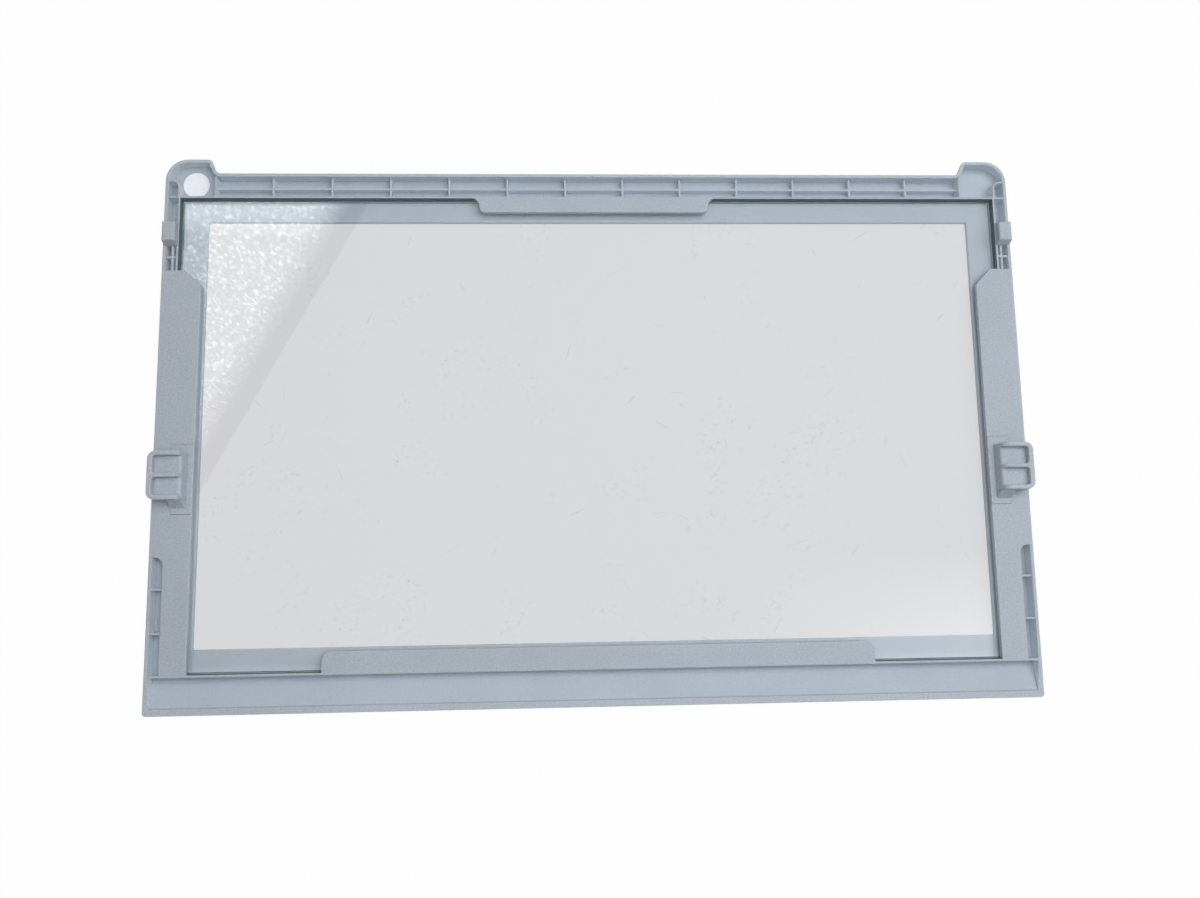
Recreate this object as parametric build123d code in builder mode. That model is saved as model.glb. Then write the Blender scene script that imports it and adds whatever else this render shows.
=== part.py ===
"""Refrigerator shelf: a moulded frame round a glass pane, with two guide hooks on its underside.

Millimetres. The shelf lies on its top face with the underside up: X across, Y from the front edge
to the back, Z out of the underside. The origin is under the middle of the whole shelf.
"""
import os
from math import atan2, cos

from build123d import *

# Frame outline
frame_width = 475.0
rail_depth = 294.0
ear_reach = 8.0
frame_height = 10.0
front_corner_radius = 2.0

# Rear corner ears, measured in from the side of the frame
ear_tip_width = 24.5
ear_root_width = 28.0
ear_corner_radius = 12.0
ear_tip_radius = 2.6
ear_root_radius = 3.0
ear_rim_height = 1.2
ear_wall_lean = 1.0
ear_floor_cut = 4.0

# Walls, measured as thicknesses
bezel_thickness = 2.8
outer_wall = 1.9
inner_wall = 1.0
front_wall = 1.15
rib_thickness = 1.0
rib_height = 4.4
bezel_round = 1.2
rim_round = 0.5

# Rails, measured from the outside of the frame to the glass pocket
side_rail = 8.45
front_rail = 20.5
rear_rail = 14.4

# Glass pane and the lip of the bezel under it
glass_thickness = 4.0
glass_clearance = 0.6
glass_seat_gap = 0.1
glass_corner_radius = 1.5
glass_edge = 0.4
side_lip = 13.95
front_lip = 12.7
rear_lip = 12.1
lip_corner_radius = 1.0
lip_edge = 0.5

# Flanges that hold the glass from its underside
side_flange = 13.0
flange_end = 238.0
flange_cut_across = 8.5
flange_cut_along = 9.0
flange_cut_radius = 3.0
front_tab_length = 293.0
front_tab_reach = 10.9
front_tab_radius = 5.0
rear_tab_length = 127.0
rear_tab_root_length = 131.0
rear_tab_reach = 8.2
rear_tab_radius = 2.6
rear_tab_root_radius = 3.6

# Sloping front of the frame
fascia_run = 18.4
fascia_wall = 2.6
front_edge_height = 2.0
front_rim = 3.5
front_end_wall = 2.1
front_end_widening = 1.1
front_edge_round = 0.8

# Rear channel ribs
rear_rib_pitch = 32.6
rear_rib_count = 12
long_rib_from_wall = 6.2
ear_wall_from_side = 27.4

# Side pockets, with places measured back from the front edge
notch_end = 81.7
notch_radius = 4.5
notch_rib_places = (41.9, 64.8)
tall_rib_step = 0.5
side_cross_rib = 245.7
side_long_rib = 2.1
ear_pocket_end = 289.5
ear_pocket_width = 5.0
ear_pocket_radius = 3.5

# Rear stop blocks, with places measured back from the front edge
block_front = 252.0
block_length = 13.0
block_height = 5.0
block_front_lean = 1.9
block_rear_lean = 0.7
block_inner_inset = 0.45
block_outer_inset = 0.8
block_round = 1.1

# Guide hooks, with places measured back from the front edge
hook_middle = 124.2
hook_length = 25.9
hook_side_inset = 0.7
hook_reach = 17.7
hook_wall = 8.1
hook_wall_lean = 1.8
hook_slot = 4.5
hook_floor = 2.1
hook_rim_height = 3.8
hook_end_rim = 2.5
hook_outer_rim = 2.8
hook_middle_rib = 2.2
hook_corner_radius = 4.4
hook_window_radius = 1.6
hook_floor_round = 2.0
hook_edge_round = 0.8
hook_slot_radius = 1.0
hook_ramp_run = 4.0
pad_thickness = 1.8
pad_front_margin = 7.0
pad_rear_margin = 4.5
pad_clearance = 0.1
pad_rise = 0.25

# Places that follow from the sizes above
half_width = frame_width / 2
front_y = -(rail_depth + ear_reach) / 2
rail_rear_y = front_y + rail_depth
ear_rear_y = rail_rear_y + ear_reach
pocket_half_width = half_width - side_rail
pocket_front_y = front_y + front_rail
pocket_rear_y = rail_rear_y - rear_rail
pocket_depth = pocket_rear_y - pocket_front_y
pocket_middle_y = (pocket_front_y + pocket_rear_y) / 2
flange_z = bezel_thickness + glass_thickness + glass_seat_gap
flange_thickness = frame_height - flange_z
flange_inner_x = pocket_half_width - side_flange
flange_end_y = front_y + flange_end
channel_depth = frame_height - bezel_thickness
wall_outer_x = pocket_half_width + inner_wall
wall_rear_y = pocket_rear_y + inner_wall
fascia_rise = frame_height - front_edge_height
fascia_slope = fascia_rise / fascia_run
floor_lift = fascia_wall / cos(atan2(fascia_rise, fascia_run))
hollow_front_y = front_y + front_rim
hollow_rear_y = pocket_front_y - front_wall
hollow_half_width = half_width - front_end_wall
rim_floor_z = fascia_rise - front_rim * fascia_slope + floor_lift
floor_foot_y = front_y + (fascia_rise + floor_lift - bezel_thickness) / fascia_slope
side_face_x = half_width - outer_wall
rear_face_y = rail_rear_y - outer_wall
block_front_y = front_y + block_front
block_rear_y = block_front_y + block_length
block_top_z = frame_height + block_height
hook_outer_x = half_width - hook_side_inset
hook_inner_x = hook_outer_x - hook_reach
hook_wall_x = hook_inner_x + hook_wall
hook_front_y = front_y + hook_middle - hook_length / 2
arm_under_z = frame_height + hook_slot
arm_floor_z = arm_under_z + hook_floor
hook_top_z = arm_floor_z + hook_rim_height
pad_front_y = hook_front_y - pad_front_margin
pad_length = hook_length + pad_front_margin + pad_rear_margin
pad_middle_y = pad_front_y + pad_length / 2
pad_width = hook_wall_x - flange_inner_x
pad_middle_x = flange_inner_x + pad_width / 2


# Hollow of the front rail: its floor lies parallel to the slope outside, its end walls thicken forwards
with BuildPart() as front_hollow:
    with BuildSketch(Plane.YZ):
        with BuildLine():
            Polyline(
                (hollow_front_y, frame_height),
                (hollow_front_y, rim_floor_z),
                (floor_foot_y, bezel_thickness),
                (hollow_rear_y, bezel_thickness),
                (hollow_rear_y, frame_height),
                close=True,
            )
        make_face()
    extrude(amount=half_width, both=True)
    with BuildSketch():
        with BuildLine():
            Polyline(
                (hollow_half_width, hollow_rear_y),
                (hollow_half_width - front_end_widening, hollow_front_y),
                (front_end_widening - hollow_half_width, hollow_front_y),
                (-hollow_half_width, hollow_rear_y),
                close=True,
            )
        make_face()
    extrude(amount=frame_height, mode=Mode.INTERSECT)


# Undercut of an ear's inner side: the wall leans in under its rim, and the floor is cut back further
with BuildPart() as ear_undercut:
    ear_tip = Vector(half_width - ear_tip_width, ear_rear_y, 0)
    ear_root = Vector(half_width - ear_root_width, rail_rear_y, 0)
    ear_side = Plane(ear_root, x_dir=(ear_tip - ear_root).cross(Vector(0, 0, 1)), z_dir=ear_root - ear_tip)
    with BuildSketch(ear_side):
        with BuildLine():
            Polyline(
                (0, frame_height - ear_rim_height),
                (ear_wall_lean, bezel_thickness),
                (ear_floor_cut, 0),
                (-ear_reach, 0),
                (-ear_reach, frame_height - ear_rim_height),
                close=True,
            )
        make_face()
    extrude(amount=2 * ear_reach, both=True)
    with BuildSketch():
        with Locations((half_width / 2, rail_rear_y + ear_reach)):
            Rectangle(frame_width, 2 * ear_reach)
    extrude(amount=frame_height, mode=Mode.INTERSECT)


# Stop block: stands on the floor of the side channel and leans back a little at its front
with BuildPart() as stop_block:
    with BuildSketch(Plane.YZ.offset(pocket_half_width + block_inner_inset)):
        with BuildLine():
            Polyline(
                (block_front_y, bezel_thickness),
                (block_front_y, frame_height),
                (block_front_y + block_front_lean, block_top_z),
                (block_rear_y - block_rear_lean, block_top_z),
                (block_rear_y, frame_height),
                (block_rear_y, bezel_thickness),
                close=True,
            )
        make_face()
    extrude(amount=side_rail - block_inner_inset - block_outer_inset)
    fillet(stop_block.faces().sort_by(Axis.Z)[-1].edges(), block_round)


# One moulding: bezel lip, rails, channels, ribs, stop blocks and the flanges over the glass
with BuildPart() as shelf_frame:
    # Plan of the frame, with a raised ear at each rear corner
    with BuildSketch() as outline:
        with Locations((0, front_y + rail_depth / 2)):
            Rectangle(frame_width, rail_depth)
        with BuildLine():
            Polyline(
                (half_width, pocket_rear_y),
                (half_width, ear_rear_y),
                (half_width - ear_tip_width, ear_rear_y),
                (half_width - ear_root_width, rail_rear_y),
                (half_width - ear_root_width, pocket_rear_y),
                close=True,
            )
        make_face()
        mirror(about=Plane.YZ)
        fillet(outline.vertices().group_by(Axis.Y)[0], front_corner_radius)
        fillet(outline.vertices().group_by(Axis.Y)[-2], ear_root_radius)
        fillet(outline.vertices().group_by(Axis.Y)[-1].sort_by(Axis.X)[1:3], ear_tip_radius)
        fillet(outline.vertices().group_by(Axis.Y)[-1].sort_by(Axis.X)[0:4:3], ear_corner_radius)
    extrude(amount=frame_height)
    fillet(shelf_frame.faces().sort_by(Axis.Z)[0].edges(), bezel_round)
    fillet(shelf_frame.faces().sort_by(Axis.Z)[-1].edges(), rim_round)

    # The front slopes from the bezel to a thin edge
    with BuildSketch(Plane.YZ):
        with BuildLine():
            Polyline(
                (front_y, 0),
                (front_y + fascia_run, 0),
                (front_y, fascia_rise),
                close=True,
            )
        make_face()
    extrude(amount=frame_width, both=True, mode=Mode.SUBTRACT)
    fillet(shelf_frame.edges().filter_by(Axis.X).group_by(Axis.Y)[0].sort_by(Axis.Z)[0], front_edge_round)

    # Pocket for the glass and the opening inside the bezel lip
    with BuildSketch(Plane.XY.offset(bezel_thickness)):
        with Locations((0, pocket_middle_y)):
            Rectangle(2 * pocket_half_width, pocket_depth)
    extrude(amount=channel_depth, mode=Mode.SUBTRACT)
    with BuildSketch():
        with Locations((0, pocket_middle_y + (front_lip - rear_lip) / 2)):
            RectangleRounded(
                2 * (pocket_half_width - side_lip),
                pocket_depth - front_lip - rear_lip,
                lip_corner_radius,
            )
    extrude(amount=bezel_thickness, mode=Mode.SUBTRACT)
    chamfer(shelf_frame.faces().filter_by(Axis.Z).group_by(Axis.Z)[0][0].inner_wires().edges(), lip_edge)
    lip_face = shelf_frame.faces().filter_by(Axis.Z).group_by(Axis.Z)[1].sort_by(SortBy.AREA)[-1]
    chamfer(lip_face.inner_wires().edges(), lip_edge)

    # Side flanges with a slanted rear corner
    with BuildSketch(Plane.XY.offset(flange_z)) as side_flanges:
        with BuildLine():
            Polyline(
                (wall_outer_x, pocket_front_y),
                (flange_inner_x, pocket_front_y),
                (flange_inner_x, flange_end_y - flange_cut_along),
                (flange_inner_x + flange_cut_across, flange_end_y),
                (wall_outer_x, flange_end_y),
                close=True,
            )
        make_face()
        slant = side_flanges.vertices().sort_by(Axis.X)[0:3].sort_by(Axis.Y)[1:3]
        fillet(slant, flange_cut_radius)
        mirror(about=Plane.YZ)
    extrude(amount=flange_thickness)

    # Front and rear tabs
    with BuildSketch(Plane.XY.offset(flange_z)) as front_tab:
        with Locations((0, pocket_front_y + front_tab_reach / 2)):
            Rectangle(front_tab_length, front_tab_reach)
        fillet(front_tab.vertices().group_by(Axis.Y)[-1], front_tab_radius)
    extrude(amount=flange_thickness)
    with BuildSketch(Plane.XY.offset(flange_z)) as rear_tab:
        with BuildLine():
            Polyline(
                (-pocket_half_width, wall_rear_y),
                (-pocket_half_width, pocket_rear_y),
                (-rear_tab_root_length / 2, pocket_rear_y),
                (-rear_tab_length / 2, pocket_rear_y - rear_tab_reach),
                (rear_tab_length / 2, pocket_rear_y - rear_tab_reach),
                (rear_tab_root_length / 2, pocket_rear_y),
                (pocket_half_width, pocket_rear_y),
                (pocket_half_width, wall_rear_y),
                close=True,
            )
        make_face()
        fillet(rear_tab.vertices().group_by(Axis.Y)[0], rear_tab_radius)
        fillet(rear_tab.vertices().group_by(Axis.Y)[-2].sort_by(Axis.X)[1:3], rear_tab_root_radius)
    extrude(amount=flange_thickness)

    # Channel along the back and round both rear corners, open on the underside
    with BuildSketch(Plane.XY.offset(bezel_thickness)):
        add(outline.sketch_local)
        offset(amount=-outer_wall, mode=Mode.REPLACE)
        with Locations((0, (flange_end_y + ear_rear_y) / 2)):
            Rectangle(frame_width, ear_rear_y - flange_end_y, mode=Mode.INTERSECT)
        with Locations((0, pocket_middle_y)):
            Rectangle(2 * wall_outer_x, pocket_depth + 2 * inner_wall, mode=Mode.SUBTRACT)
    extrude(amount=channel_depth, mode=Mode.SUBTRACT)

    # Channel along the front
    add(front_hollow.part, mode=Mode.SUBTRACT)

    # Notches at the front of both side rails
    notch_length = notch_end - front_rail
    with BuildSketch(Plane.XY.offset(bezel_thickness)) as notches:
        with Locations(((wall_outer_x + side_face_x) / 2, pocket_front_y + notch_length / 2)):
            Rectangle(side_face_x - wall_outer_x, notch_length)
        fillet(notches.vertices().group_by(Axis.Y)[-1].sort_by(Axis.X)[0], notch_radius)
        mirror(about=Plane.YZ)
    extrude(amount=channel_depth, mode=Mode.SUBTRACT)

    # Low ribs along and across the rear channel
    ear_wall_x = half_width - ear_wall_from_side
    rear_channel_width = rear_face_y - wall_rear_y
    with BuildSketch(Plane.XY.offset(bezel_thickness)):
        with Locations((0, (wall_rear_y + rear_face_y) / 2)):
            with GridLocations(rear_rib_pitch, rear_channel_width, rear_rib_count, 1):
                Rectangle(rib_thickness, rear_channel_width)
        with Locations((0, rear_face_y - long_rib_from_wall)):
            Rectangle(2 * ear_wall_x, rib_thickness)
    extrude(amount=rib_height)

    # Tall ribs across the front notches, and a cross in each side channel
    with BuildSketch(Plane.XY.offset(bezel_thickness)):
        for place in (*notch_rib_places, side_cross_rib):
            with Locations(((wall_outer_x + side_face_x) / 2, front_y + place)):
                Rectangle(side_face_x - wall_outer_x, rib_thickness)
        with Locations((wall_outer_x + side_long_rib, (flange_end_y + block_front_y) / 2)):
            Rectangle(rib_thickness, block_front_y - flange_end_y)
        mirror(about=Plane.YZ)
    extrude(amount=channel_depth - tall_rib_step)

    # Walls of the ears: the inner end, and the small rounded pocket behind the side channel
    ear_pocket_x = side_face_x - ear_pocket_width - inner_wall / 2
    ear_pocket_y = front_y + ear_pocket_end
    with BuildSketch(Plane.XY.offset(bezel_thickness)):
        with Locations((ear_wall_x, (wall_rear_y + rear_face_y) / 2)):
            Rectangle(rib_thickness, rear_channel_width)
        with Locations(((pocket_half_width + side_face_x) / 2, wall_rear_y - inner_wall / 2)):
            Rectangle(side_face_x - pocket_half_width, inner_wall)
        with BuildLine():
            FilletPolyline(
                (ear_pocket_x, wall_rear_y - inner_wall / 2),
                (ear_pocket_x, ear_pocket_y),
                (side_face_x + outer_wall / 2, ear_pocket_y),
                radius=ear_pocket_radius,
            )
        trace(line_width=inner_wall)
        mirror(about=Plane.YZ)
    extrude(amount=channel_depth)

    # Inner sides of the ears
    add(ear_undercut.part, mode=Mode.SUBTRACT)
    mirror(ear_undercut.part, about=Plane.YZ, mode=Mode.SUBTRACT)

    # Stop blocks across the side channels
    add(stop_block.part)
    mirror(stop_block.part, about=Plane.YZ)

    # Recesses in the side flanges for the feet of the guide hooks
    with BuildSketch(Plane.XY.offset(frame_height - pad_thickness)):
        with Locations((pad_middle_x, pad_middle_y)):
            Rectangle(pad_width + 2 * pad_clearance, pad_length + 2 * pad_clearance)
        mirror(about=Plane.YZ)
    extrude(amount=pad_thickness, mode=Mode.SUBTRACT)
shelf_frame.part.label = "shelf_frame"


# Glass pane with ground edges, held between the lip of the bezel and the flanges with a hair of play
with BuildPart() as glass_pane:
    with BuildSketch(Plane.XY.offset(bezel_thickness + glass_seat_gap / 2)):
        with Locations((0, pocket_middle_y)):
            RectangleRounded(
                2 * (pocket_half_width - glass_clearance),
                pocket_depth - 2 * glass_clearance,
                glass_corner_radius,
            )
    extrude(amount=glass_thickness)
    chamfer(glass_pane.faces().filter_by(Axis.Z).edges(), glass_edge)
glass_pane.part.label = "glass_pane"


# Ramp that carries on the section of the hook's wall and slopes from the arm down to the foot
with BuildPart() as hook_ramp:
    with BuildSketch(Plane.YZ.offset(hook_inner_x)):
        with BuildLine():
            Polyline(
                (hook_front_y - hook_ramp_run, frame_height),
                (hook_front_y, arm_floor_z),
                (hook_front_y, frame_height),
                close=True,
            )
        make_face()
    extrude(amount=hook_wall)
    with BuildSketch(Plane.XZ.offset(-hook_front_y)):
        with BuildLine():
            Polyline(
                (hook_inner_x, frame_height),
                (hook_inner_x + hook_wall_lean, hook_top_z),
                (hook_wall_x, hook_top_z),
                (hook_wall_x, frame_height),
                close=True,
            )
        make_face()
    extrude(amount=hook_ramp_run, mode=Mode.INTERSECT)


# Guide hook: a foot let into the flange, a leaning wall and a ribbed arm pointing outwards
with BuildPart() as guide_hook_right:
    with BuildSketch(Plane.XZ.offset(-hook_front_y)) as hook_profile:
        with BuildLine():
            Polyline(
                (hook_inner_x, frame_height),
                (hook_inner_x + hook_wall_lean, hook_top_z),
                (hook_outer_x, hook_top_z),
                (hook_outer_x, arm_under_z),
                (hook_wall_x, arm_under_z),
                (hook_wall_x, frame_height),
                close=True,
            )
        make_face()
        fillet(hook_profile.vertices().group_by(Axis.Y)[-1].sort_by(Axis.X)[0], hook_rim_height)
        fillet(hook_profile.vertices().group_by(Axis.Y)[1].sort_by(Axis.X)[0], hook_slot_radius)
    extrude(amount=-hook_length)
    fillet(guide_hook_right.edges().filter_by(Axis.Z).group_by(Axis.X)[-1], hook_corner_radius)

    # Two windows between the rims of the arm, open towards the wall
    window_length = hook_reach - hook_outer_rim
    window_width = (hook_length - 2 * hook_end_rim - hook_middle_rib) / 2
    window_pitch = window_width + hook_middle_rib
    with BuildSketch(Plane.XY.offset(arm_floor_z)) as windows:
        with Locations((hook_inner_x + window_length / 2, hook_front_y + hook_length / 2)):
            with GridLocations(window_length, window_pitch, 1, 2):
                Rectangle(window_length, window_width)
        fillet(windows.vertices().group_by(Axis.X)[-1], hook_window_radius)
    extrude(amount=hook_rim_height, mode=Mode.SUBTRACT)
    arm_edges = guide_hook_right.edges().filter_by(Axis.Y).filter_by_position(Axis.Z, arm_under_z, hook_top_z)
    fillet(arm_edges.group_by(Axis.X)[0], hook_floor_round)
    top_edges = guide_hook_right.faces().sort_by(Axis.Z)[-1].edges()
    rim_ends = top_edges.filter_by(Axis.Y).group_by(Axis.X)[0]
    fillet([edge for edge in top_edges if edge not in rim_ends], hook_edge_round)

    # Foot and ramp
    with BuildSketch(Plane.XY.offset(frame_height - pad_thickness)):
        with Locations((pad_middle_x, pad_middle_y)):
            Rectangle(pad_width, pad_length)
    extrude(amount=pad_thickness + pad_rise)
    add(hook_ramp.part)
guide_hook_right.part.label = "guide_hook_right"

with BuildPart() as guide_hook_left:
    add(guide_hook_right.part)
    mirror(about=Plane.YZ, mode=Mode.REPLACE)
guide_hook_left.part.label = "guide_hook_left"


os.makedirs("parts", exist_ok=True)
for piece in (shelf_frame, glass_pane, guide_hook_right, guide_hook_left):
    export_step(piece.part, f"parts/{piece.part.label}.step")
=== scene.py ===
"""Looks of the refrigerator shelf: moulded frame and hooks, glass pane, sticker, and a small photo studio.

Metres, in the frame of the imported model: X across, Y from the front edge to the back, Z out of the underside.
"""
import math

import bpy
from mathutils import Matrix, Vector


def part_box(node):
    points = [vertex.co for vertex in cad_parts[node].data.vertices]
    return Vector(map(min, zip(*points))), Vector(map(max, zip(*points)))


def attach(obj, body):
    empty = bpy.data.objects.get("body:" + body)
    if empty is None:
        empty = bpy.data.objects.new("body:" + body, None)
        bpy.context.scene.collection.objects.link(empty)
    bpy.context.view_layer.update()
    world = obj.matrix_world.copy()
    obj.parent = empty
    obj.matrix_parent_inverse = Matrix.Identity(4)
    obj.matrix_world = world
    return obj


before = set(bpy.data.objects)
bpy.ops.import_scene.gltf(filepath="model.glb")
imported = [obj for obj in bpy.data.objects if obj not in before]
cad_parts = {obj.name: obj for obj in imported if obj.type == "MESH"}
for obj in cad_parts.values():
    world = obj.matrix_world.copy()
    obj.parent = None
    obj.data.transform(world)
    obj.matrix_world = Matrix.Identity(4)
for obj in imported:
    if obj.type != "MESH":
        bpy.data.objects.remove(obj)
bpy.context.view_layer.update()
mm = 0.001


# Frame: one injection moulding in pale grey-blue ABS, lying with its underside up. The mould was spark
# eroded, so every face carries the same fine matt grain, and years of wiping have left it a little cloudy.
def linear(hex_colour):
    """An sRGB hex colour as linear red, green, blue and alpha."""
    parts = [int(hex_colour[i:i + 2], 16) / 255 for i in (1, 3, 5)]
    return [p / 12.92 if p <= 0.04045 else ((p + 0.055) / 1.055) ** 2.4 for p in parts] + [1.0]


def put_node(material, kind, settings, links):
    """Adds a node to a material, sets its properties and sockets, and links its inputs to other nodes' outputs."""
    node = material.node_tree.nodes.new(kind)
    for name, value in settings.items():
        if isinstance(name, int) or name in node.inputs:
            node.inputs[name].default_value = value
        else:
            setattr(node, name, value)
    for name, source in links.items():
        material.node_tree.links.new(source, node.inputs[name])
    return node


# Moulded ABS: even colour with a faint cloudiness some centimetres wide, and a matt spark-eroded grain. The real
# grain is about 0.2 mm; it is drawn 1 mm wide so that it shows. Polished cores formed the hollows between the rims
# and plates, so their grain is fainter; the hollows are also painted a shade lighter, most of all their walls, as
# painted light that lifts the shade in them. The front and rear rims are painted paler, a painted highlight.
# A little light bleeds through the thin walls, which softens every shadow. The walls beside the edge of the glass
# carry painted shade, and a painted shadow line runs along the crease behind the front rim. The strip of lip under
# the edge of the glass is painted paler, as painted light against the shade beside the wall.
abs_plastic = bpy.data.materials.new("moulded_abs")
abs_plastic.use_nodes = True
abs_shader = abs_plastic.node_tree.nodes["Principled BSDF"]
grain_width = 1.0 * mm
grain_depth = 0.1 * mm
cloud_width = 45 * mm
edge_radius = 0.35 * mm
bleed_depth = 3 * mm
# Most of a noise lies between these two values
noise_low = 0.3
noise_high = 0.7
# Cosine of 60 degrees: faces that look up more than this count as floors, and those nearer upright as walls
tilt_limit = 0.5
# Heights above the face that the shelf lies on
lip_top = 3.2 * mm
smooth_lightened_below = 9.4 * mm
grained_unlightened_above = 9.8 * mm
rim_top = 9.9 * mm
# Distances outwards from the edge of the pane, and the widths of bands
glass_gap = 0.6 * mm
gap_shade_band = 0.2 * mm
lightened_lip_strip = 4 * mm
skin_beyond = 8.5 * mm
paler_rims_beyond = 12 * mm
# The crease runs across the shelf at this place along Y
crease_y = -147.3 * mm
crease_width = 0.7 * mm
pane_low, pane_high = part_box("glass_pane")
pane_middle = (pane_low + pane_high) / 2
pane_half = (pane_high - pane_low) / 2
place = put_node(abs_plastic, "ShaderNodeTexCoord", {}, {}).outputs["Object"]
place_parts = put_node(abs_plastic, "ShaderNodeSeparateXYZ", {}, {0: place})
height = place_parts.outputs["Z"]
# Above this height the faces are grained; below it they are smoother and painted lighter, as painted light
grained_unlightened = put_node(
    abs_plastic, "ShaderNodeMapRange", {"From Min": smooth_lightened_below, "From Max": grained_unlightened_above}, {"Value": height},
)
grain = put_node(
    abs_plastic, "ShaderNodeTexNoise",
    {"Scale": 1 / grain_width, "Detail": 2.0, "Roughness": 0.6}, {"Vector": place},
)
clouds = put_node(
    abs_plastic, "ShaderNodeTexNoise",
    {"Scale": 1 / cloud_width, "Detail": 4.0, "Roughness": 0.55}, {"Vector": place},
)
# How far each point lies outside the edge of the pane, negative above and below the glass
from_pane = put_node(
    abs_plastic, "ShaderNodeVectorMath", {"operation": "SUBTRACT", 1: pane_middle}, {0: place},
)
across_pane = put_node(
    abs_plastic, "ShaderNodeVectorMath", {"operation": "ABSOLUTE"}, {0: from_pane.outputs["Vector"]},
)
past_pane = put_node(
    abs_plastic, "ShaderNodeVectorMath", {"operation": "SUBTRACT", 1: pane_half}, {0: across_pane.outputs["Vector"]},
)
past_sides = put_node(abs_plastic, "ShaderNodeSeparateXYZ", {}, {0: past_pane.outputs["Vector"]})
past_edge = put_node(
    abs_plastic, "ShaderNodeMath", {"operation": "MAXIMUM"},
    {0: past_sides.outputs["X"], 1: past_sides.outputs["Y"]},
)
# Painted shade low on the walls beside the glass, in the narrow gap round the pane
by_glass = put_node(
    abs_plastic, "ShaderNodeMath", {"operation": "COMPARE", 1: glass_gap, 2: gap_shade_band}, {0: past_edge.outputs[0]},
)
in_hollow = put_node(abs_plastic, "ShaderNodeMath", {"operation": "SUBTRACT", 0: 1.0}, {1: grained_unlightened.outputs["Result"]})
gap_shade_mask = put_node(
    abs_plastic, "ShaderNodeMath", {"operation": "MULTIPLY"}, {0: by_glass.outputs[0], 1: in_hollow.outputs[0]},
)
# Colours of the raised faces and of the hollows; the hollows are painted lighter, as painted light that lifts their
# shade
# Front and rear rims painted paler: a painted highlight along the outer edges
rims_painted_paler = put_node(
    abs_plastic, "ShaderNodeMath", {"operation": "GREATER_THAN", 1: paler_rims_beyond}, {0: past_sides.outputs["Y"]},
)
raised = put_node(
    abs_plastic, "ShaderNodeMix",
    {"data_type": "RGBA", 6: linear("#ACB4BD"), 7: linear("#B1B9C2")}, {0: rims_painted_paler.outputs[0]},
)
hollows_lightened = put_node(
    abs_plastic, "ShaderNodeMix",
    {"data_type": "RGBA", 6: linear("#B3BCC7")}, {0: grained_unlightened.outputs["Result"], 7: raised.outputs[2]},
)
# Walls painted lighter still, as painted light that lifts their shade: upright, low, clear of the glass, and inside
# the outer skin
facing = put_node(abs_plastic, "ShaderNodeNewGeometry", {}, {}).outputs["True Normal"]
facing_up = put_node(
    abs_plastic, "ShaderNodeVectorMath", {"operation": "DOT_PRODUCT", 1: (0, 0, 1)}, {0: facing},
)
steep = put_node(
    abs_plastic, "ShaderNodeMath", {"operation": "COMPARE", 1: 0.0, 2: tilt_limit}, {0: facing_up.outputs["Value"]},
)
facing_out = put_node(
    abs_plastic, "ShaderNodeVectorMath", {"operation": "DOT_PRODUCT"}, {0: facing, 1: from_pane.outputs["Vector"]},
)
facing_middle = put_node(
    abs_plastic, "ShaderNodeMath", {"operation": "LESS_THAN", 1: 0.0}, {0: facing_out.outputs["Value"]},
)
off_glass = put_node(
    abs_plastic, "ShaderNodeMath", {"operation": "GREATER_THAN", 1: glass_gap}, {0: past_edge.outputs[0]},
)
behind_skin = put_node(
    abs_plastic, "ShaderNodeMath", {"operation": "LESS_THAN", 1: skin_beyond}, {0: past_edge.outputs[0]},
)
enclosed = put_node(
    abs_plastic, "ShaderNodeMath", {"operation": "MAXIMUM"}, {0: facing_middle.outputs[0], 1: behind_skin.outputs[0]},
)
inner_wall = put_node(
    abs_plastic, "ShaderNodeMath", {"operation": "MULTIPLY"}, {0: steep.outputs[0], 1: enclosed.outputs[0]},
)
hollow_wall = put_node(
    abs_plastic, "ShaderNodeMath", {"operation": "MULTIPLY"}, {0: inner_wall.outputs[0], 1: in_hollow.outputs[0]},
)
walls_painted_lighter = put_node(
    abs_plastic, "ShaderNodeMath", {"operation": "MULTIPLY"}, {0: hollow_wall.outputs[0], 1: off_glass.outputs[0]},
)
walls_lightened = put_node(
    abs_plastic, "ShaderNodeMix", {"data_type": "RGBA", 7: linear("#CED6DD")},
    {0: walls_painted_lighter.outputs[0], 6: hollows_lightened.outputs[2]},
)
# Strip of the lip under the edge of the glass, painted paler as painted light against the shade beside the wall
near_edge = put_node(
    abs_plastic, "ShaderNodeMapRange", {"From Min": -lightened_lip_strip, "From Max": 0.0}, {"Value": past_edge.outputs[0]},
)
on_lip = put_node(abs_plastic, "ShaderNodeMath", {"operation": "LESS_THAN", 1: lip_top}, {0: height})
lip_edge = put_node(
    abs_plastic, "ShaderNodeMath", {"operation": "MULTIPLY"}, {0: near_edge.outputs["Result"], 1: on_lip.outputs[0]},
)
in_pocket = put_node(
    abs_plastic, "ShaderNodeMath", {"operation": "LESS_THAN", 1: glass_gap}, {0: past_edge.outputs[0]},
)
under_edge = put_node(
    abs_plastic, "ShaderNodeMath", {"operation": "MULTIPLY"}, {0: lip_edge.outputs[0], 1: in_pocket.outputs[0]},
)
lip_edge_lightened = put_node(
    abs_plastic, "ShaderNodeMix", {"data_type": "RGBA", 7: linear("#C6CED7")},
    {0: under_edge.outputs[0], 6: walls_lightened.outputs[2]},
)
# Painted shade on the walls beside the glass
gap_shaded = put_node(
    abs_plastic, "ShaderNodeMix", {"data_type": "RGBA", 7: linear("#66787F")},
    {0: gap_shade_mask.outputs[0], 6: lip_edge_lightened.outputs[2]},
)
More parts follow.
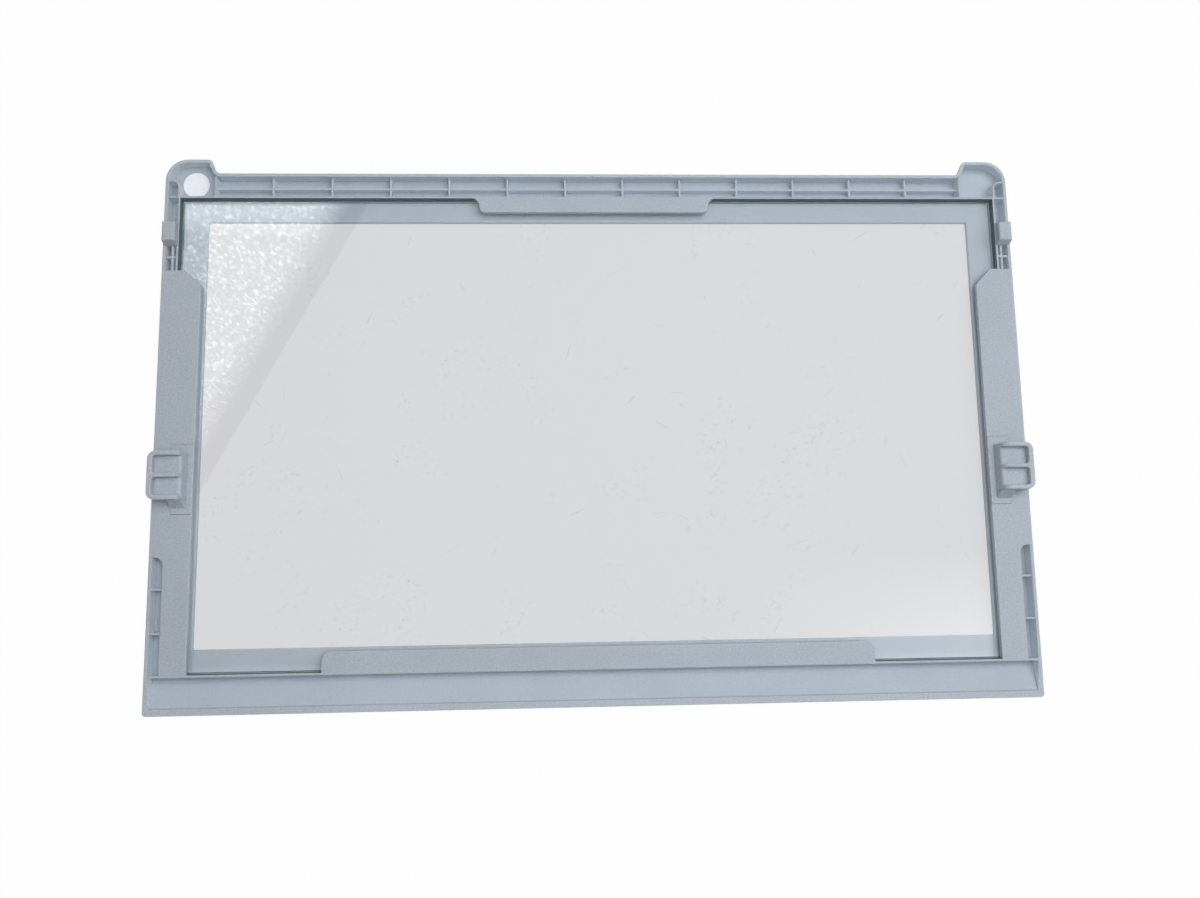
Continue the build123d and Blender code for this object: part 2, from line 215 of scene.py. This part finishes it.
# Crease: a painted shadow line on the floor behind the front rim
by_crease = put_node(
    abs_plastic, "ShaderNodeMath", {"operation": "COMPARE", 1: crease_y, 2: crease_width / 2},
    {0: place_parts.outputs["Y"]},
)
upward = put_node(
    abs_plastic, "ShaderNodeMath", {"operation": "GREATER_THAN", 1: tilt_limit}, {0: facing_up.outputs["Value"]},
)
below_rim = put_node(abs_plastic, "ShaderNodeMath", {"operation": "LESS_THAN", 1: rim_top}, {0: height})
on_floor = put_node(
    abs_plastic, "ShaderNodeMath", {"operation": "MULTIPLY"}, {0: upward.outputs[0], 1: below_rim.outputs[0]},
)
crease_shade_mask = put_node(
    abs_plastic, "ShaderNodeMath", {"operation": "MULTIPLY"}, {0: by_crease.outputs[0], 1: on_floor.outputs[0]},
)
crease_shaded = put_node(
    abs_plastic, "ShaderNodeMix", {"data_type": "RGBA", 7: linear("#9EA6AF")},
    {0: crease_shade_mask.outputs[0], 6: gap_shaded.outputs[2]},
)
# Cloudiness and grain shade the colour, and the grain roughens the surface
cloudy = put_node(
    abs_plastic, "ShaderNodeMapRange",
    {"From Min": noise_low, "From Max": noise_high, "To Min": 0.965, "To Max": 1.035},
    {"Value": clouds.outputs["Fac"]},
)
speckle = put_node(
    abs_plastic, "ShaderNodeMapRange",
    {"From Min": noise_low, "From Max": noise_high, "To Min": -1.0, "To Max": 1.0},
    {"Value": grain.outputs["Fac"]},
)
speckle_depth = put_node(
    abs_plastic, "ShaderNodeMapRange", {"To Min": 0.05, "To Max": 0.12}, {"Value": grained_unlightened.outputs["Result"]},
)
flecks = put_node(
    abs_plastic, "ShaderNodeMath", {"operation": "MULTIPLY_ADD", 2: 1.0},
    {0: speckle.outputs["Result"], 1: speckle_depth.outputs["Result"]},
)
shade = put_node(
    abs_plastic, "ShaderNodeMath", {"operation": "MULTIPLY"}, {0: cloudy.outputs["Result"], 1: flecks.outputs[0]},
)
speckled = put_node(
    abs_plastic, "ShaderNodeVectorMath",
    {"operation": "SCALE"}, {0: crease_shaded.outputs[2], "Scale": shade.outputs[0]},
)
dullness = put_node(
    abs_plastic, "ShaderNodeMapRange",
    {"From Min": noise_low, "From Max": noise_high, "To Min": 0.42, "To Max": 0.56},
    {"Value": clouds.outputs["Fac"]},
)
soft_edges = put_node(abs_plastic, "ShaderNodeBevel", {"samples": 4, "Radius": edge_radius}, {})
grain_bump = put_node(
    abs_plastic, "ShaderNodeBump",
    {"Strength": 0.12, "Distance": grain_depth},
    {"Height": grain.outputs["Fac"], "Normal": soft_edges.outputs["Normal"]},
)
abs_shader.inputs["IOR"].default_value = 1.54
abs_shader.inputs["Subsurface Weight"].default_value = 0.7
abs_shader.inputs["Subsurface Radius"].default_value = (1.0, 1.0, 1.0)
abs_shader.inputs["Subsurface Scale"].default_value = bleed_depth
abs_plastic.node_tree.links.new(speckled.outputs["Vector"], abs_shader.inputs["Base Color"])
abs_plastic.node_tree.links.new(dullness.outputs["Result"], abs_shader.inputs["Roughness"])
abs_plastic.node_tree.links.new(grain_bump.outputs["Normal"], abs_shader.inputs["Normal"])
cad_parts["shelf_frame"].material_slots[0].material = abs_plastic


# Guide hooks: two more mouldings in the same ABS, each with its foot set in a recess of the side flange. They keep
# the shelf on the ledges of the cabinet.
for hook in ("guide_hook_left", "guide_hook_right"):
    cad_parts[hook].material_slots[0].material = abs_plastic


# Glass pane: 4 mm toughened float glass, clear over its faces. Its edges are ground dull, and there the iron in the
# glass shows as a grey-green, darkened further with painted shade of the narrow gap round the pane. Use has left
# smears, faint smudges and hairline scratches.
edge_band = 0.45 * mm
smear_width = 60 * mm
smudge_width = 40 * mm
speck_width = 2.5 * mm
scratch_spacing = 22 * mm
scratch_length = 9 * mm
scratch_width = 0.4 * mm
scratch_bow = 9.0
most_haze = 0.012
ground_roughness = 0.45

float_glass = bpy.data.materials.new("toughened_float_glass")
float_glass.use_nodes = True
glass_shader = float_glass.node_tree.nodes["Principled BSDF"]
glass_output = float_glass.node_tree.nodes["Material Output"]
place = put_node(float_glass, "ShaderNodeTexCoord", {}, {}).outputs["Object"]
from_middle = put_node(
    float_glass, "ShaderNodeVectorMath", {"operation": "SUBTRACT", 1: pane_middle}, {0: place},
)
spread = put_node(
    float_glass, "ShaderNodeVectorMath", {"operation": "ABSOLUTE"}, {0: from_middle.outputs["Vector"]},
)
beyond = put_node(
    float_glass, "ShaderNodeVectorMath", {"operation": "SUBTRACT", 1: pane_half}, {0: spread.outputs["Vector"]},
)
beyond_parts = put_node(float_glass, "ShaderNodeSeparateXYZ", {}, {0: beyond.outputs["Vector"]})
nearest_edge = put_node(
    float_glass, "ShaderNodeMath", {"operation": "MAXIMUM"},
    {0: beyond_parts.outputs["X"], 1: beyond_parts.outputs["Y"]},
)
ground = put_node(
    float_glass, "ShaderNodeMath", {"operation": "GREATER_THAN", 1: -edge_band}, {0: nearest_edge.outputs[0]},
)
smears = put_node(
    float_glass, "ShaderNodeTexNoise",
    {"Scale": 1 / smear_width, "Detail": 5.0, "Roughness": 0.6, "Distortion": 1.2}, {"Vector": place},
)
haze = put_node(
    float_glass, "ShaderNodeMapRange",
    {"From Min": 0.5, "From Max": 0.75, "To Min": 0.0, "To Max": most_haze}, {"Value": smears.outputs["Fac"]},
)
# One scratch in each cell of a scattered pattern, turned and shortened by the cell's own chance colour. The real
# ones are under 0.1 mm wide; they are drawn wider so that they show.
scatter = put_node(
    float_glass, "ShaderNodeTexVoronoi",
    {"voronoi_dimensions": "2D", "Scale": 1 / scratch_spacing}, {"Vector": place},
)
chance = put_node(float_glass, "ShaderNodeSeparateXYZ", {}, {0: scatter.outputs["Color"]})
from_scratch = put_node(
    float_glass, "ShaderNodeVectorMath", {"operation": "SUBTRACT"}, {0: place, 1: scatter.outputs["Position"]},
)
turn = put_node(
    float_glass, "ShaderNodeMath", {"operation": "MULTIPLY", 1: math.tau}, {0: chance.outputs["X"]},
)
turned = put_node(
    float_glass, "ShaderNodeVectorRotate", {"rotation_type": "Z_AXIS"},
    {"Vector": from_scratch.outputs["Vector"], "Angle": turn.outputs[0]},
)
along = put_node(float_glass, "ShaderNodeSeparateXYZ", {}, {0: turned.outputs["Vector"]})
half_length = put_node(
    float_glass, "ShaderNodeMath", {"operation": "MULTIPLY", 1: scratch_length / 2}, {0: chance.outputs["Y"]},
)
reach = put_node(float_glass, "ShaderNodeMath", {"operation": "ABSOLUTE"}, {0: along.outputs["X"]})
on_length = put_node(
    float_glass, "ShaderNodeMath", {"operation": "LESS_THAN"}, {0: reach.outputs[0], 1: half_length.outputs[0]},
)
squared = put_node(
    float_glass, "ShaderNodeMath", {"operation": "POWER", 1: 2.0}, {0: reach.outputs[0]},
)
bowed = put_node(
    float_glass, "ShaderNodeMath", {"operation": "MULTIPLY_ADD", 1: scratch_bow},
    {0: squared.outputs[0], 2: along.outputs["Y"]},
)
aside = put_node(float_glass, "ShaderNodeMath", {"operation": "ABSOLUTE"}, {0: bowed.outputs[0]})
on_line = put_node(
    float_glass, "ShaderNodeMapRange",
    {"From Min": scratch_width / 4, "From Max": scratch_width / 2, "To Min": 1.0, "To Max": 0.0},
    {"Value": aside.outputs[0]},
)
scratched = put_node(
    float_glass, "ShaderNodeMath", {"operation": "MULTIPLY"}, {0: on_length.outputs[0], 1: on_line.outputs["Result"]},
)
faintness = put_node(float_glass, "ShaderNodeMath", {"operation": "POWER", 1: 2.0}, {0: chance.outputs["Z"]})
weighed = put_node(
    float_glass, "ShaderNodeMath", {"operation": "MULTIPLY"}, {0: scratched.outputs[0], 1: faintness.outputs[0]},
)
# Smudges are loose clusters of fine specks
clusters = put_node(
    float_glass, "ShaderNodeTexNoise",
    {"Scale": 1 / smudge_width, "Detail": 3.0, "Roughness": 0.6, "Distortion": 0.6}, {"Vector": place},
)
clustered = put_node(
    float_glass, "ShaderNodeMapRange", {"From Min": 0.52, "From Max": 0.7}, {"Value": clusters.outputs["Fac"]},
)
specks = put_node(
    float_glass, "ShaderNodeTexNoise", {"Scale": 1 / speck_width, "Detail": 4.0, "Roughness": 0.7}, {"Vector": place},
)
specked = put_node(
    float_glass, "ShaderNodeMapRange", {"From Min": 0.55, "From Max": 0.72}, {"Value": specks.outputs["Fac"]},
)
smudged = put_node(
    float_glass, "ShaderNodeMath", {"operation": "MULTIPLY"},
    {0: clustered.outputs["Result"], 1: specked.outputs["Result"]},
)
worn = put_node(
    float_glass, "ShaderNodeMath", {"operation": "MAXIMUM"}, {0: weighed.outputs[0], 1: smudged.outputs[0]},
)
# Only the face that lies upwards here is worn
glass_height = put_node(float_glass, "ShaderNodeSeparateXYZ", {}, {0: place}).outputs["Z"]
upper_face = put_node(
    float_glass, "ShaderNodeMath", {"operation": "GREATER_THAN", 1: pane_middle.z}, {0: glass_height},
)
marked = put_node(
    float_glass, "ShaderNodeMath", {"operation": "MULTIPLY"}, {0: worn.outputs[0], 1: upper_face.outputs[0]},
)
dusty = put_node(
    float_glass, "ShaderNodeMix", {"data_type": "RGBA", 6: linear("#FBFCFE"), 7: linear("#D8DADC")},
    {0: marked.outputs[0]},
)
# Ground edges: the grey-green of the glass, darkened with painted shade
edge_tint_and_shade = put_node(
    float_glass, "ShaderNodeMix", {"data_type": "RGBA", 7: linear("#52656A")},
    {0: ground.outputs[0], 6: dusty.outputs[2]},
)
dull = put_node(
    float_glass, "ShaderNodeMath", {"operation": "MULTIPLY_ADD", 1: ground_roughness},
    {0: ground.outputs[0], 2: haze.outputs["Result"]},
)
glass_shader.inputs["Transmission Weight"].default_value = 1.0
glass_shader.inputs["IOR"].default_value = 1.52
float_glass.node_tree.links.new(edge_tint_and_shade.outputs[2], glass_shader.inputs["Base Color"])
float_glass.node_tree.links.new(dull.outputs[0], glass_shader.inputs["Roughness"])
# Lamps reach what lies under the pane: their rays, and light that bounces back up, pass straight through
passing = put_node(float_glass, "ShaderNodeBsdfTransparent", {"Color": linear("#F8FAF9")}, {})
ray = put_node(float_glass, "ShaderNodeLightPath", {}, {})
lit_through = put_node(
    float_glass, "ShaderNodeMath", {"operation": "MAXIMUM"},
    {0: ray.outputs["Is Shadow Ray"], 1: ray.outputs["Is Diffuse Ray"]},
)
pane_mix = put_node(
    float_glass, "ShaderNodeMixShader", {},
    {0: lit_through.outputs[0], 1: glass_shader.outputs[0], 2: passing.outputs[0]},
)
float_glass.node_tree.links.new(pane_mix.outputs[0], glass_output.inputs["Surface"])
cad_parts["glass_pane"].material_slots[0].material = float_glass


# Sticker: a blank disc of white vinyl paper pressed on the floor of the left ear. It lies flat in the middle and
# its cut rim is lifted a hair all round.
sticker_radius = 7.2 * mm
sticker_thickness = 0.12 * mm
sticker_lift = 0.06 * mm
sticker_rim = 0.5 * mm
ear_floor = 2.8 * mm
sticker_middle = (-222.9 * mm, 138.7 * mm, ear_floor + sticker_thickness / 2)

bpy.ops.object.select_all(action="DESELECT")
bpy.ops.mesh.primitive_cylinder_add(
    vertices=96, radius=sticker_radius, depth=sticker_thickness, location=sticker_middle,
)
sticker = bpy.context.object
sticker.name = "sticker"
bpy.ops.object.transform_apply(location=True, rotation=True, scale=True)
bpy.ops.object.mode_set(mode="EDIT")
bpy.ops.mesh.select_mode(type="FACE")
bpy.ops.mesh.select_all(action="DESELECT")
bpy.ops.object.mode_set(mode="OBJECT")
for face in sticker.data.polygons:
    face.select = abs(face.normal.z) > 0.9
bpy.ops.object.mode_set(mode="EDIT")
for inset in (sticker_rim, 2 * sticker_rim, 4 * sticker_rim):
    bpy.ops.mesh.inset(thickness=inset)
bpy.ops.object.mode_set(mode="OBJECT")
for point in sticker.data.vertices:
    from_centre = math.hypot(point.co.x - sticker_middle[0], point.co.y - sticker_middle[1])
    point.select = from_centre > sticker_radius - sticker_rim / 5
bpy.ops.object.mode_set(mode="EDIT")
bpy.ops.mesh.select_mode(type="VERT")
bpy.ops.transform.translate(value=(0, 0, sticker_lift))
bpy.ops.object.mode_set(mode="OBJECT")
bpy.ops.object.shade_smooth_by_angle(angle=math.radians(35))

# White vinyl paper: bright, half matt, with a faint crumpled unevenness a few millimetres wide
crumple_width = 3 * mm
crumple_depth = 0.1 * mm
vinyl_paper = bpy.data.materials.new("white_vinyl_paper")
vinyl_paper.use_nodes = True
paper_shader = vinyl_paper.node_tree.nodes["Principled BSDF"]
place = put_node(vinyl_paper, "ShaderNodeTexCoord", {}, {}).outputs["Object"]
crumple = put_node(
    vinyl_paper, "ShaderNodeTexNoise", {"Scale": 1 / crumple_width, "Detail": 3.0}, {"Vector": place},
)
greyed = put_node(
    vinyl_paper, "ShaderNodeMix", {"data_type": "RGBA", 6: linear("#E4E6EC"), 7: linear("#F7F8FB")},
    {0: crumple.outputs["Fac"]},
)
paper_bump = put_node(
    vinyl_paper, "ShaderNodeBump", {"Strength": 0.3, "Distance": crumple_depth}, {"Height": crumple.outputs["Fac"]},
)
paper_shader.inputs["Roughness"].default_value = 0.38
vinyl_paper.node_tree.links.new(greyed.outputs[2], paper_shader.inputs["Base Color"])
vinyl_paper.node_tree.links.new(paper_bump.outputs["Normal"], paper_shader.inputs["Normal"])
sticker.data.materials.append(vinyl_paper)
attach(sticker, "root")


# Studio floor: a wide sheet of white paper just under the shelf. The camera sees it lifted to white, and the
# shelf's shadow stays on it; behind the glass it keeps more of its own shade.
floor_size = 40
floor_gap = 0.2 * mm
floor_lift = 0.98
lift_lost_behind_glass = 0.22
white_lost_behind_glass = 0.265
bpy.ops.object.select_all(action="DESELECT")
bpy.ops.mesh.primitive_plane_add(size=floor_size, location=(0, 0, -floor_gap))
floor = bpy.context.object
floor.name = "studio_floor"
floor_paper = bpy.data.materials.new("white_floor_paper")
floor_paper.use_nodes = True
floor_shader = floor_paper.node_tree.nodes["Principled BSDF"]
floor_shader.inputs["Base Color"].default_value = linear("#CCCED1")
floor_shader.inputs["Roughness"].default_value = 0.9
floor_shader.inputs["Specular IOR Level"].default_value = 0.0
ray = put_node(floor_paper, "ShaderNodeLightPath", {}, {})
whiteness = put_node(
    floor_paper, "ShaderNodeMath", {"operation": "MULTIPLY_ADD", 1: -white_lost_behind_glass, 2: 1.0},
    {0: ray.outputs["Is Transmission Ray"]},
)
white = put_node(
    floor_paper, "ShaderNodeEmission", {"Color": linear("#FFFFFF")}, {"Strength": whiteness.outputs[0]},
)
seen_or_mirrored = put_node(
    floor_paper, "ShaderNodeMath", {"operation": "MAXIMUM"},
    {0: ray.outputs["Is Camera Ray"], 1: ray.outputs["Is Glossy Ray"]},
)
direct_lift = put_node(
    floor_paper, "ShaderNodeMath", {"operation": "MULTIPLY", 1: floor_lift}, {0: seen_or_mirrored.outputs[0]},
)
# A ray through the pane counts as mirrored too, so some of that lift is taken off it again
lift = put_node(
    floor_paper, "ShaderNodeMath", {"operation": "MULTIPLY_ADD", 1: -lift_lost_behind_glass},
    {0: ray.outputs["Is Transmission Ray"], 2: direct_lift.outputs[0]},
)
floor_mix = put_node(
    floor_paper, "ShaderNodeMixShader", {}, {0: lift.outputs[0], 1: floor_shader.outputs[0], 2: white.outputs[0]},
)
floor_output = floor_paper.node_tree.nodes["Material Output"]
floor_paper.node_tree.links.new(floor_mix.outputs[0], floor_output.inputs["Surface"])
floor.data.materials.append(floor_paper)


# Studio light: an even white room, a wide soft box above the right rear that gives the channels their shade, and a
# ring light. A crinkled sheet of diffuser film over the left rear corner and a white card over the right front
# corner are there for the glass to mirror.
room_fill = 0.22
room = bpy.data.worlds.new("white_room")
room.use_nodes = True
bpy.context.scene.world = room
room_light = room.node_tree.nodes["Background"]
room_light.inputs["Color"].default_value = linear("#FBFDFF")
ray = put_node(room, "ShaderNodeLightPath", {}, {})
seen = put_node(
    room, "ShaderNodeMath", {"operation": "MAXIMUM"},
    {0: ray.outputs["Is Camera Ray"], 1: ray.outputs["Is Glossy Ray"]},
)
seen_through = put_node(
    room, "ShaderNodeMath", {"operation": "MAXIMUM"},
    {0: seen.outputs[0], 1: ray.outputs["Is Transmission Ray"]},
)
room_strength = put_node(
    room, "ShaderNodeMapRange", {"To Min": room_fill, "To Max": 1.0}, {"Value": seen_through.outputs[0]},
)
room.node_tree.links.new(room_strength.outputs["Result"], room_light.inputs["Strength"])

soft_box = bpy.data.objects.new("soft_box", bpy.data.lights.new("soft_box", "AREA"))
soft_box.data.shape = "RECTANGLE"
soft_box.data.size = 1.2
soft_box.data.size_y = 0.9
soft_box.data.energy = 13.0
soft_box.location = (0.65, 0.3, 1.2)
soft_box.visible_glossy = False
soft_box.visible_transmission = False
bpy.context.scene.collection.objects.link(soft_box)

# Ring light: hangs round the lens and lights the walls that the lens can see
ring_light = bpy.data.objects.new("ring_light", bpy.data.lights.new("ring_light", "AREA"))
ring_light.data.shape = "DISK"
ring_light.data.size = 0.5
ring_light.data.energy = 1.4
ring_light.location = (-0.02, -0.06, 0.62)
ring_light.visible_glossy = False
ring_light.visible_transmission = False
bpy.context.scene.collection.objects.link(ring_light)

# Diffuser film: lit from behind, brightest where it is crinkled and at its rear end, with a duller hem. Its straight
# edge shows across the pane's left rear corner.
film_height = 800 * mm
film_edge = [(-273.7 * mm, 437.3 * mm), (-480.4 * mm, 53.4 * mm)]
film_width = 260 * mm
film_length = 560 * mm
film_hem = 60 * mm
crinkle_width = 5 * mm
rear_end = 430 * mm
rear_fade = 35 * mm
plain_glow = 1.6
glint_glow = 8.0
rear_end_glow = 2.2
hem_glow = 0.2
edge_run = [film_edge[0][i] - film_edge[1][i] for i in (0, 1)]
edge_turn = math.atan2(edge_run[1], edge_run[0])
film_middle = [
    (film_edge[0][0] + film_edge[1][0]) / 2 - math.sin(edge_turn) * film_width / 2,
    (film_edge[0][1] + film_edge[1][1]) / 2 + math.cos(edge_turn) * film_width / 2,
    film_height,
]
bpy.ops.object.select_all(action="DESELECT")
bpy.ops.mesh.primitive_plane_add(size=1)
film = bpy.context.object
film.name = "diffuser_film"
film.scale = (film_length, film_width, 1)
film.rotation_euler = (0, 0, edge_turn)
film.location = film_middle
bpy.ops.object.transform_apply(location=True, rotation=True, scale=True)
film.visible_camera = False
film.visible_diffuse = False
film.visible_shadow = False
lit_film = bpy.data.materials.new("lit_diffuser_film")
lit_film.use_nodes = True
place = put_node(lit_film, "ShaderNodeTexCoord", {}, {}).outputs["Object"]
crinkles = put_node(
    lit_film, "ShaderNodeTexNoise",
    {"Scale": 1 / crinkle_width, "Detail": 3.0, "Roughness": 0.6, "Distortion": 1.0}, {"Vector": place},
)
glints = put_node(
    lit_film, "ShaderNodeMapRange",
    {"From Min": 0.5, "From Max": 0.75, "To Min": plain_glow, "To Max": glint_glow},
    {"Value": crinkles.outputs["Fac"]},
)
from_edge = put_node(
    lit_film, "ShaderNodeVectorMath", {"operation": "SUBTRACT", 1: (*film_edge[0], film_height)}, {0: place},
)
inwards = put_node(
    lit_film, "ShaderNodeVectorMath",
    {"operation": "DOT_PRODUCT", 1: (-math.sin(edge_turn), math.cos(edge_turn), 0)}, {0: from_edge.outputs["Vector"]},
)
past_hem = put_node(
    lit_film, "ShaderNodeMapRange",
    {"From Min": film_hem / 3, "From Max": film_hem}, {"Value": inwards.outputs["Value"]},
)
along_y = put_node(lit_film, "ShaderNodeSeparateXYZ", {}, {0: place}).outputs["Y"]
rear_glow = put_node(
    lit_film, "ShaderNodeMapRange",
    {"From Min": rear_end - rear_fade, "From Max": rear_end, "To Max": rear_end_glow}, {"Value": along_y},
)
film_shine = put_node(
    lit_film, "ShaderNodeMath", {"operation": "ADD"}, {0: glints.outputs["Result"], 1: rear_glow.outputs["Result"]},
)
film_glow = put_node(
    lit_film, "ShaderNodeMix", {"data_type": "FLOAT", 2: hem_glow},
    {0: past_hem.outputs["Result"], 3: film_shine.outputs[0]},
)
film_light = put_node(
    lit_film, "ShaderNodeEmission", {"Color": linear("#FBFDFF")}, {"Strength": film_glow.outputs[0]},
)
film_output = lit_film.node_tree.nodes["Material Output"]
lit_film.node_tree.links.new(film_light.outputs[0], film_output.inputs["Surface"])
film.data.materials.append(lit_film)

# White card: over the right front corner, brightest in its far corner, which the glass there mirrors
card_low = (150 * mm, -300 * mm)
card_high = (750 * mm, -30 * mm)
card_fade_x = (200 * mm, 520 * mm)
card_fade_y = (-40 * mm, -170 * mm)
card_glow_low = 1.0
card_glow_high = 2.5
bpy.ops.object.select_all(action="DESELECT")
bpy.ops.mesh.primitive_plane_add(size=1)
card = bpy.context.object
card.name = "white_card"
card.scale = (card_high[0] - card_low[0], card_high[1] - card_low[1], 1)
card.location = ((card_low[0] + card_high[0]) / 2, (card_low[1] + card_high[1]) / 2, film_height)
bpy.ops.object.transform_apply(location=True, rotation=True, scale=True)
card.visible_camera = False
card.visible_diffuse = False
card.visible_shadow = False
lit_card = bpy.data.materials.new("lit_white_card")
lit_card.use_nodes = True
place = put_node(lit_card, "ShaderNodeTexCoord", {}, {}).outputs["Object"]
card_parts = put_node(lit_card, "ShaderNodeSeparateXYZ", {}, {0: place})
to_right = put_node(
    lit_card, "ShaderNodeMapRange", {"From Min": card_fade_x[0], "From Max": card_fade_x[1]},
    {"Value": card_parts.outputs["X"]},
)
to_front = put_node(
    lit_card, "ShaderNodeMapRange", {"From Min": card_fade_y[0], "From Max": card_fade_y[1]},
    {"Value": card_parts.outputs["Y"]},
)
to_corner = put_node(
    lit_card, "ShaderNodeMath", {"operation": "MULTIPLY"},
    {0: to_right.outputs["Result"], 1: to_front.outputs["Result"]},
)
card_glow = put_node(
    lit_card, "ShaderNodeMapRange", {"To Min": card_glow_low, "To Max": card_glow_high},
    {"Value": to_corner.outputs[0]},
)
card_light = put_node(
    lit_card, "ShaderNodeEmission", {"Color": linear("#FBFDFF")}, {"Strength": card_glow.outputs["Result"]},
)
card_output = lit_card.node_tree.nodes["Material Output"]
lit_card.node_tree.links.new(card_light.outputs[0], card_output.inputs["Surface"])
card.data.materials.append(lit_card)


# Camera: a short lens held above the front edge and looking down at the shelf
camera = bpy.data.objects.new("camera", bpy.data.cameras.new("camera"))
camera.data.sensor_width = 36.0
camera.data.lens = 30.67
camera.location = (-0.02567, -0.09266, 0.56001)
camera.rotation_euler = (0.14238, -0.0459, -0.01691)
camera.data.clip_start = 0.01
bpy.context.scene.collection.objects.link(camera)
bpy.context.scene.camera = camera
bpy.context.scene.view_settings.view_transform = "Standard"
